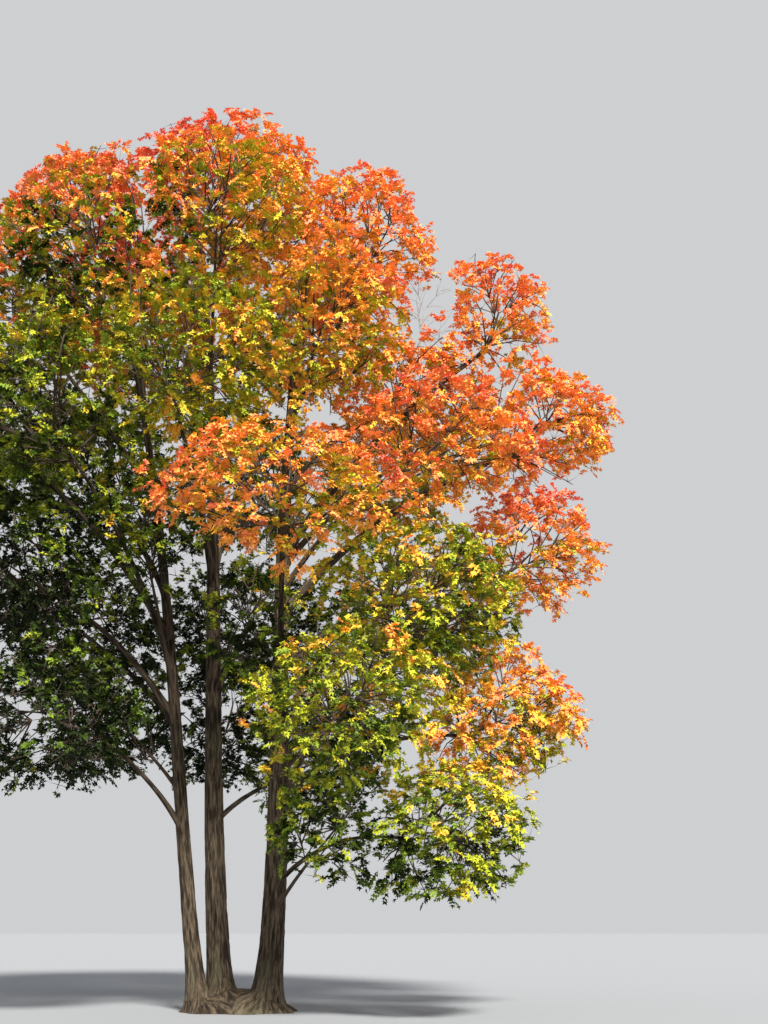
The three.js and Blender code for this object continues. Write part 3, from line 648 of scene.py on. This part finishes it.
def clump_places(places, outward, seed):
    """Clumps over the upper and outer side of each tuft, which make it round."""
    count = len(places)
    lean = TUFT_AXIS["up"] * UP + TUFT_AXIS["outward"] * outward
    axis = unit(lean + jitter(count, seed, TUFT_AXIS["chance"]))
    side, other = sideways(axis, SPRAY_SKEW)
    i = np.arange(CLUMPS)
    ahead = 1 - (i + 0.5) / CLUMPS * TUFT_CAP
    aside = np.sqrt(1 - ahead**2)
    turn = i * GOLDEN_ANGLE + 2 * np.pi * chance(np.arange(count), seed + 3)[:, None]
    flat = np.cos(turn)[..., None] * side[:, None] + np.sin(turn)[..., None] * other[:, None]
    direction = ahead[None, :, None] * axis[:, None] + aside[None, :, None] * flat
    spots = (places[:, None] + TUFT_RADIUS * direction).reshape(-1, 3)
    return spots + jitter(len(spots), seed + 4, CLUMP_SHIFT)


def nearest_forks(paths, places):
    """For each place, the point of the main twigs from which a side twig reaches it at an easy angle."""
    samples = paths[:, 1:].reshape(-1, 3)
    along = unit(np.diff(paths, axis=1)).reshape(-1, 3)
    gap = places[:, None] - samples[None]
    distance = np.linalg.norm(gap, axis=-1)
    ahead = np.einsum("pqk,qk->pq", gap, along) / np.maximum(distance, 1e-6)
    best = (distance * (EASY_ANGLE - ahead)).argmin(1)
    return samples[best], along[best]


def tuft_twigs(paths, tufts):
    """A twig to each tuft, from the handiest point of the main twigs."""
    feet, along = nearest_forks(paths, tufts)
    tuft_paths, span = forked_paths(feet, along, tufts, TUFT_TWIG_BEND, TUFT_TWIG["steps"])
    least, more = TUFT_TWIG_GROWTH
    radii = np.linspace(TUFT_TWIG["foot"], TUFT_TWIG["tip"], TUFT_TWIG["steps"])[None] * (least + more * span)
    return tuft_paths, radii


def clump_feet(tuft_paths):
    """Where the twigs to the clumps leave, near the end of each tuft's twig."""
    spots = (1 - CLUMP_TWIG_FOOT) * tuft_paths[:, -2] + CLUMP_TWIG_FOOT * tuft_paths[:, -1]
    return np.repeat(spots, CLUMPS, axis=0)


def grow_sprays(index, feet, clumps, seed):
    """Sprays that open out from the end of each clump's twig, and which clumps bear any. A spray has a
    start, a direction, the way it faces, and a length."""
    count = len(clumps)
    keys = np.arange(count * SPRAYS)
    start = np.repeat(clumps, SPRAYS, axis=0)
    heading = np.repeat(unit(clumps - feet), SPRAYS, axis=0)
    side, other = sideways(heading, SPRAY_SKEW)
    turn = keys * GOLDEN_ANGLE + chance(keys, seed + 2)
    ring = np.cos(turn)[:, None] * side + np.sin(turn)[:, None] * other
    least, most = SPRAY_OPENING
    opening = least + (most - least) * chance(keys, seed + 5)
    direction = unit(heading + opening[:, None] * ring)
    face = unit(UP + SPRAY_FACE["heading"] * heading + jitter(len(keys), seed + 9, SPRAY_FACE["chance"]))
    least, most = SPRAY_LENGTH
    length = least + (most - least) * chance(keys, seed + 6)
    least, most = SPRAY_LIMIT
    limit = least + (most - least) * chance(keys // (CLUMPS * SPRAYS), seed + 8)
    kept = own_space(start + direction * (length + SPRAY_MARGIN)[:, None], index, limit)
    bearing = kept.reshape(count, SPRAYS).any(1)
    return (start[kept], direction[kept], face[kept], length[kept]), bearing


# Autumn: how far the leaves have turned, and by how much more or less here and there.
TURNING = {"outside": 0.4, "top": 0.08, "spray": 0.3}
TURNING_PATCHES = [
    {"by": 0.26, "size": 1.5, "seed": 7},
    {"by": 0.24, "size": 0.6, "seed": 8},
]
TURNING_BLEND = {"power": 6, "least": 0.15}  # how sharply the masses' values run into each other
OUTSIDE = 0.75  # closeness ** -0.5 at which a place counts as neither outside nor inside
MOST_TURNED = 0.999  # just below 1, so that it still has a tint
# High on the shaded left side a spray is olive or quite orange, with little yellow between.
SPLIT = {"most": 0.2, "over": 2.0, "from": 13.0}


def turned_at(points, seed):
    """How far the leaves have turned at each place: the masses' values run together, further turned on the
    outside and on top, where the sun and the cold reach, and patched by noise."""
    measure = space_measures(points)
    weight = LEAFY / np.maximum(measure, TURNING_BLEND["least"]) ** TURNING_BLEND["power"]
    turned = (weight * MASS_TURNED).sum(1) / weight.sum(1)
    closeness, nearest = crown_closeness(points)
    height = (points[:, 2] - MASS_AT[nearest, 2]) / MASS_SIZE[nearest, 2]
    turned = turned + TURNING["outside"] * (closeness**-0.5 - OUTSIDE) + TURNING["top"] * height
    for patch in TURNING_PATCHES:
        turned = turned + patch["by"] * (noise(points / patch["size"], patch["seed"]) - 0.5)
    turned = turned + TURNING["spray"] * (chance(np.arange(len(points)), seed) - 0.5)
    left = np.clip(-points[:, 0] / SPLIT["over"], 0, 1)
    high = np.clip((points[:, 2] - SPLIT["from"]) / SPLIT["over"], 0, 1)
    return turned - SPLIT["most"] * left * high * np.sin(2 * np.pi * turned)


# Leaves. Each is lobed, of two faces, its blade up to the raised side lobes and its drooping middle lobe:
# foot, right lobe, left lobe, and the middle lobe's two sides and point.
LEAF_POINTS = np.array([
    (0.0, 0.0, 0.0), (0.6, 0.5, 0.1), (-0.6, 0.5, 0.1),
    (0.25, 0.46, 0.09), (-0.25, 0.46, 0.09), (0.0, 1.0, -0.16),
])
LEAF_TRIANGLES = np.array([(0, 1, 2), (4, 3, 5)])
LEAF_PLACE = {"first": 0.7, "chance": 0.5}  # along a spray, in steps from node to node
LEAF_SPREAD = {"foot": 1.15, "less": 0.75}  # aside from the spray at its foot, and how much less at its tip
LEAF_LEAN = {"back": 0.55, "droop": 0.22, "chance": 0.7}
LEAF_TURN = 1.1  # by chance, of the way it faces


def leaf_mesh(feet, directions, faces, lengths):
    """Leaves from their feet, the ways that they run and face, and their lengths."""
    side = unit(np.cross(directions, faces))
    normal = np.cross(side, directions)
    x, y, z = LEAF_POINTS.T
    spread = (x[None, :, None] * side[:, None] + y[None, :, None] * directions[:, None]
              + z[None, :, None] * normal[:, None])
    points = feet[:, None] + lengths[:, None, None] * spread
    offsets = np.arange(len(feet))[:, None, None] * len(LEAF_POINTS)
    return points.reshape(-1, 3), (LEAF_TRIANGLES[None] + offsets).reshape(-1, 3)


def grow_leaves(start, direction, face, length, seed):
    """Pairs of leaves along each spray, spread to its sides, and the number of the spray of each."""
    count = len(start)
    sprays = np.repeat(np.arange(count), LEAF_NODES * 2)
    node = np.tile(np.repeat(np.arange(LEAF_NODES), 2), count)
    hand = np.tile(np.array([1.0, -1.0]), count * LEAF_NODES)
    keys = np.arange(len(sprays))
    shift = LEAF_PLACE["first"] + LEAF_PLACE["chance"] * (chance(keys, seed + 1) - 0.5)
    share = (node + shift) / LEAF_NODES
    along = direction[sprays]
    facing = face[sprays]
    side = unit(np.cross(along, facing)) * hand[:, None]
    spread = (LEAF_SPREAD["foot"] - LEAF_SPREAD["less"] * share)[:, None]
    lean = along * (1 - spread * LEAF_LEAN["back"]) + side * spread - LEAF_LEAN["droop"] * UP
    lean = unit(lean + jitter(len(keys), seed + 2, LEAF_LEAN["chance"]))
    foot = start[sprays] + along * (share * length[sprays])[:, None] - SPRAY_DROOP * share[:, None] ** 2 * UP
    blade = unit(facing + jitter(len(keys), seed + 4, LEAF_TURN))
    low, high = LEAF_LENGTH
    size = low + (high - low) * chance(keys, seed + 7)
    return foot, lean, blade, size, sprays


# Masses of foliage.
BARKED_STEM = 0.054  # m: the stems of masses at least this thick at the foot show bark relief
MASS_STEM_SIDES = 16
MASS_STEM_STEP = 0.09
THIN_STEM = {"steps": 9, "sides": 9}


def make_barked_stem(name, line, radius, seed, bark):
    """The thick stem that a mass stands on, as a limb with bark."""
    def radius_at(share, _):
        return radius * (1 - MASS_STEM_TAPER * share)

    shares = np.linspace(0, 1, int(line.length / MASS_STEM_STEP))
    tube = bark_tube(line, shares, radius_at, MASS_STEM_SIDES, BARK_SEEDS["mass_stem"] + seed)
    bark_piece(name.replace("leaves", "stem"), tube, bark)


def thin_stem(line, radius):
    """The thin stem that a mass stands on, as one more twig."""
    shares = np.linspace(0, 1, THIN_STEM["steps"])
    radii = radius * (1 - MASS_STEM_TAPER * shares)
    return twig_tubes(line.at(shares)[None], radii[None], THIN_STEM["sides"])


def make_leaves(name, sprays, seed, tints):
    """All leaves of a mass, each spray in one tint."""
    foot, lean, blade, size, spray = grow_leaves(*sprays, seed)
    points, triangles = leaf_mesh(foot, lean, blade, size)
    turned = np.clip(turned_at(sprays[0], seed), 0, MOST_TURNED)
    leaf_tint = (turned * len(tints)).astype(int)[spray]
    face_tint = np.repeat(leaf_tint, len(LEAF_TRIANGLES))
    leaves = mesh_piece(name + "_sprays", points, triangles, tints, tints=face_tint)
    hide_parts(name)


def make_mass(index, lines, tints, twig_bark, bark):
    """One mass of foliage: its stem, its twigs, and its leaves."""
    name = MASS_NAMES[index]
    seed = index + 1
    line = mass_stem_line(lines, MASSES[name])
    radius = mass_stem_radius(MASSES[name])
    paths, radii = main_twigs(line, radius, MASSES[name], seed)
    tufts, outward = tuft_places(index, seed)
    tuft_paths, tuft_radii = tuft_twigs(paths, tufts)
    clumps = clump_places(tufts, outward, seed)
    feet = clump_feet(tuft_paths)
    sprays, bearing = grow_sprays(index, feet, clumps, seed)
    start, direction, _, length = sprays
    leafy = bearing.reshape(-1, CLUMPS).any(1)
    parts = [
        twig_tubes(paths, radii, MAIN_TWIG["sides"]),
        twig_tubes(tuft_paths[leafy], tuft_radii[leafy], TUFT_TWIG["sides"]),
        spikes(feet[bearing], clumps[bearing] - feet[bearing], CLUMP_TWIG_RADIUS),
        spikes(start, direction * length[:, None], SPRAY_RADIUS),
    ]
    if radius >= BARKED_STEM:
        make_barked_stem(name, line, radius, seed, bark)
    else:
        parts.append(thin_stem(line, radius))
    twigs = mesh_piece(name.replace("leaves", "twigs"), *joined(parts), [twig_bark], smooth=True)
    make_leaves(name, sprays, seed, tints)


# Dead twigs: the same rule, with finer bare twigs in place of tufts.
DEAD_STEM = {"taper": 0.75, "steps": 12, "sides": 7}
DEAD_MAIN = {"thinner": 0.8, "sides": 4}
DEAD_FINE = {
    "count": 46,
    "least_reach": 0.5,
    "lead": 0.1,
    "foot": 0.006,
    "tip": 0.002,
    "steps": 5,
    "sides": 3,
}
DEAD_SEED = 3


def fine_dead_twigs(index, paths):
    count = DEAD_FINE["count"]
    steps = DEAD_FINE["steps"]
    least = DEAD_FINE["least_reach"]
    reach = least + (1 - least) * chance(DEAD_SEED, np.arange(count))
    tips = MASS_AT[index] + MASS_SIZE[index] * even_directions(count, DEAD_SEED) * reach[:, None]
    feet, along = nearest_forks(paths, tips)
    fine_paths = bent_paths(feet, (feet + tips) / 2 + along * DEAD_FINE["lead"], tips, steps)
    radii = np.tile(np.linspace(DEAD_FINE["foot"], DEAD_FINE["tip"], steps), (count, 1))
    return twig_tubes(fine_paths, radii, DEAD_FINE["sides"])


def make_dead_twigs(index, lines, material):
    name = MASS_NAMES[index]
    line = mass_stem_line(lines, MASSES[name])
    radius = mass_stem_radius(MASSES[name])
    shares = np.linspace(0, 1, DEAD_STEM["steps"])
    stem_radii = radius * (1 - DEAD_STEM["taper"] * shares)
    paths, radii = main_twigs(line, radius, MASSES[name], index + 1)
    parts = [
        twig_tubes(line.at(shares)[None], stem_radii[None], DEAD_STEM["sides"]),
        twig_tubes(paths, radii * DEAD_MAIN["thinner"], DEAD_MAIN["sides"]),
        fine_dead_twigs(index, paths),
    ]
    piece = mesh_piece(name + "_bare", *joined(parts), [material], smooth=True)
    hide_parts(name)


# Materials.
def linear(code):
    """A colour code as it looks on a screen, as linear red, green and blue."""
    channels = np.array([code >> 16, code >> 8 & 255, code & 255]) / 255
    return tuple(np.where(channels <= 0.04045, channels / 12.92, ((channels + 0.055) / 1.055) ** 2.4))


def plain_material(name, code, roughness, specular):
    material = bpy.data.materials.new(name)
    material.use_nodes = True
    shader = material.node_tree.nodes["Principled BSDF"]
    shader.inputs["Base Color"].default_value = (*linear(code), 1)
    shader.inputs["Roughness"].default_value = roughness
    shader.inputs["Specular IOR Level"].default_value = specular
    return material


LEAF_TINTS = {
    # The two darkest greens are painted shade as well as green: they are darker than a leaf's own green, so
    # that leaves in the shade low on the crown's left come out dark.
    "leaf_deep_green_painted_shade": 0x1C270A,
    "leaf_dark_green_painted_shade": 0x2C3C0D,
    "leaf_green": 0x4F641A,
    "leaf_mid_green": 0x728626,
    "leaf_olive": 0x959C2A,
    "leaf_yellow_green": 0xA5A82A,
    "leaf_yellow": 0xC2B02E,
    "leaf_gold": 0xE3AE3C,
    "leaf_amber": 0xF2A845,
    "leaf_bright_orange": 0xF7A04C,
    "leaf_orange": 0xF89856,
    "leaf_red_orange": 0xF48C54,
    "leaf_coral": 0xEE7F58,
    "leaf_rose": 0xE0745A,
}
TWIG_CODE = 0x4A3F35
DEAD_WOOD_CODE = 0x8D857B


def leaf_materials():
    return [plain_material(name, code, roughness=0.6, specular=0.15) for name, code in LEAF_TINTS.items()]


def twig_material(name, code):
    return plain_material(name, code, roughness=0.85, specular=0.2)


BARK_GRAIN = {"stretch": (16, 16, 2.2), "scale": 2.2, "detail": 6, "roughness": 0.62}
BARK_PATCHES = {"stretch": (3, 3, 0.5), "scale": 1.3, "detail": 3, "roughness": 0.5}
FURROW_CODE = 0x332B24
PLATE_CODE = 0x675D51
FURROW_COLOURS = ((FURROW_CODE, 0.1), (PLATE_CODE, 0.9))  # and the share up to or from which each holds
GRAIN_COLOURS = ((0x5C4F44, 0.36), (0xF2E8D8, 0.64))
GRAIN_SHARE = 0.85
WEATHERED = {"code": 0x6B7058, "from": 0.5, "to": 0.8, "most": 0.25}
BARK_BUMP = {"strength": 0.6, "distance": 0.02}
MIX_SOCKETS = {"first": 6, "second": 7, "result": 2}  # by place, because a mix node's names repeat


def flow_noise(tree, flow, look):
    """Noise drawn out along the limb."""
    stretch = tree.nodes.new("ShaderNodeMapping")
    stretch.inputs["Scale"].default_value = look["stretch"]
    tree.links.new(flow, stretch.inputs["Vector"])
    texture = tree.nodes.new("ShaderNodeTexNoise")
    texture.inputs["Scale"].default_value = look["scale"]
    texture.inputs["Detail"].default_value = look["detail"]
    texture.inputs["Roughness"].default_value = look["roughness"]
    tree.links.new(stretch.outputs["Vector"], texture.inputs["Vector"])
    return texture.outputs["Fac"]


def attribute_node(tree, name):
    node = tree.nodes.new("ShaderNodeAttribute")
    node.attribute_name = name
    return node


def colours_by(tree, share, stops):
    """A colour for each share, between two stops of a colour code and a share."""
    ramp = tree.nodes.new("ShaderNodeValToRGB")
    for element, (code, position) in zip(ramp.color_ramp.elements, stops):
        element.color = (*linear(code), 1)
        element.position = position
    tree.links.new(share, ramp.inputs["Fac"])
    return ramp.outputs["Color"]


def mix_node(tree, blend, first):
    """A mix of two colours, and its inputs for the second colour and the factor."""
    mix = tree.nodes.new("ShaderNodeMix")
    mix.data_type = "RGBA"
    mix.blend_type = blend
    tree.links.new(first, mix.inputs[MIX_SOCKETS["first"]])
    return mix.outputs[MIX_SOCKETS["result"]], mix.inputs[MIX_SOCKETS["second"]], mix.inputs["Factor"]


def bark_material():
    """Grey-brown bark: dark furrows between paler plates, with grain and patches along the limb."""
    material = plain_material("bark", PLATE_CODE, roughness=0.9, specular=0.2)
    tree = material.node_tree
    shader = tree.nodes["Principled BSDF"]
    flow = attribute_node(tree, "flow").outputs["Vector"]
    grain = flow_noise(tree, flow, BARK_GRAIN)
    furrows = colours_by(tree, attribute_node(tree, "plate").outputs["Fac"], FURROW_COLOURS)
    grained, second, factor = mix_node(tree, "MULTIPLY", furrows)
    factor.default_value = GRAIN_SHARE
    tree.links.new(colours_by(tree, grain, GRAIN_COLOURS), second)
    weathered, second, factor = mix_node(tree, "MIX", grained)
    second.default_value = (*linear(WEATHERED["code"]), 1)
    share = tree.nodes.new("ShaderNodeMapRange")
    share.inputs["From Min"].default_value = WEATHERED["from"]
    share.inputs["From Max"].default_value = WEATHERED["to"]
    share.inputs["To Max"].default_value = WEATHERED["most"]
    tree.links.new(flow_noise(tree, flow, BARK_PATCHES), share.inputs["Value"])
    tree.links.new(share.outputs["Result"], factor)
    tree.links.new(weathered, shader.inputs["Base Color"])
    bump = tree.nodes.new("ShaderNodeBump")
    bump.inputs["Strength"].default_value = BARK_BUMP["strength"]
    bump.inputs["Distance"].default_value = BARK_BUMP["distance"]
    tree.links.new(grain, bump.inputs["Height"])
    tree.links.new(bump.outputs["Normal"], shader.inputs["Normal"])
    return material


# Stage: a pale floor, soft light and the camera at the photograph's viewing angle.
CAMERA_AT = (2.85, -27.0, 1.6)
CAMERA_PITCH = np.radians(18)
FOCAL_PIXELS = 1276
PHOTO_HEIGHT = 1024
SENSOR = 36
CLIP_END = 1000  # m
SUN = {"energy": 9.2, "angle": 11, "turn": (49, 0, 16), "colour": (1.0, 0.96, 0.88)}  # angles in degrees
SKY = {"colour": (0.86, 0.87, 0.89, 1), "strength": 0.72}
FLOOR = {"half": 300.0, "below": 0.002, "code": 0x8B8E93}


def make_camera():
    camera = bpy.data.cameras.new("camera")
    camera.sensor_fit = "VERTICAL"
    camera.sensor_height = SENSOR
    camera.lens = FOCAL_PIXELS / PHOTO_HEIGHT * SENSOR
    camera.clip_end = CLIP_END
    holder = bpy.data.objects.new("camera", camera)
    holder.location = CAMERA_AT
    holder.rotation_euler = (np.pi / 2 + CAMERA_PITCH, 0, 0)
    bpy.context.scene.collection.objects.link(holder)
    bpy.context.scene.camera = holder


def make_light():
    sun = bpy.data.lights.new("key", "SUN")
    sun.energy = SUN["energy"]
    sun.angle = np.radians(SUN["angle"])
    sun.color = SUN["colour"]
    holder = bpy.data.objects.new("key", sun)
    holder.rotation_euler = np.radians(SUN["turn"])
    bpy.context.scene.collection.objects.link(holder)
    world = bpy.data.worlds.new("pale")
    world.use_nodes = True
    background = world.node_tree.nodes["Background"]
    background.inputs["Color"].default_value = SKY["colour"]
    background.inputs["Strength"].default_value = SKY["strength"]
    bpy.context.scene.world = world


def make_floor():
    half = FLOOR["half"]
    mesh = bpy.data.meshes.new("floor")
    corners = [(-half, -half, 0), (half, -half, 0), (half, half, 0), (-half, half, 0)]
    mesh.from_pydata(corners, [], [(0, 1, 2, 3)])
    mesh.materials.append(plain_material("pale_floor", FLOOR["code"], roughness=0.9, specular=0.1))
    floor = bpy.data.objects.new("floor", mesh)
    floor.location.z = -FLOOR["below"]
    bpy.context.scene.collection.objects.link(floor)


bpy.context.scene.view_settings.view_transform = "Standard"
make_camera()
make_light()
make_floor()

lines = all_lines()
bark = bark_material()
make_root_crown(lines, bark)
make_stems(lines, bark)
make_boughs(lines, bark)
leaf_tints = leaf_materials()
twig_bark = twig_material("twig_bark", TWIG_CODE)
dead_wood = twig_material("dead_wood", DEAD_WOOD_CODE)
for index in np.flatnonzero(LEAFY):
    make_mass(int(index), lines, leaf_tints, twig_bark, bark)
make_dead_twigs(MASS_NAMES.index("dead_twigs"), lines, dead_wood)
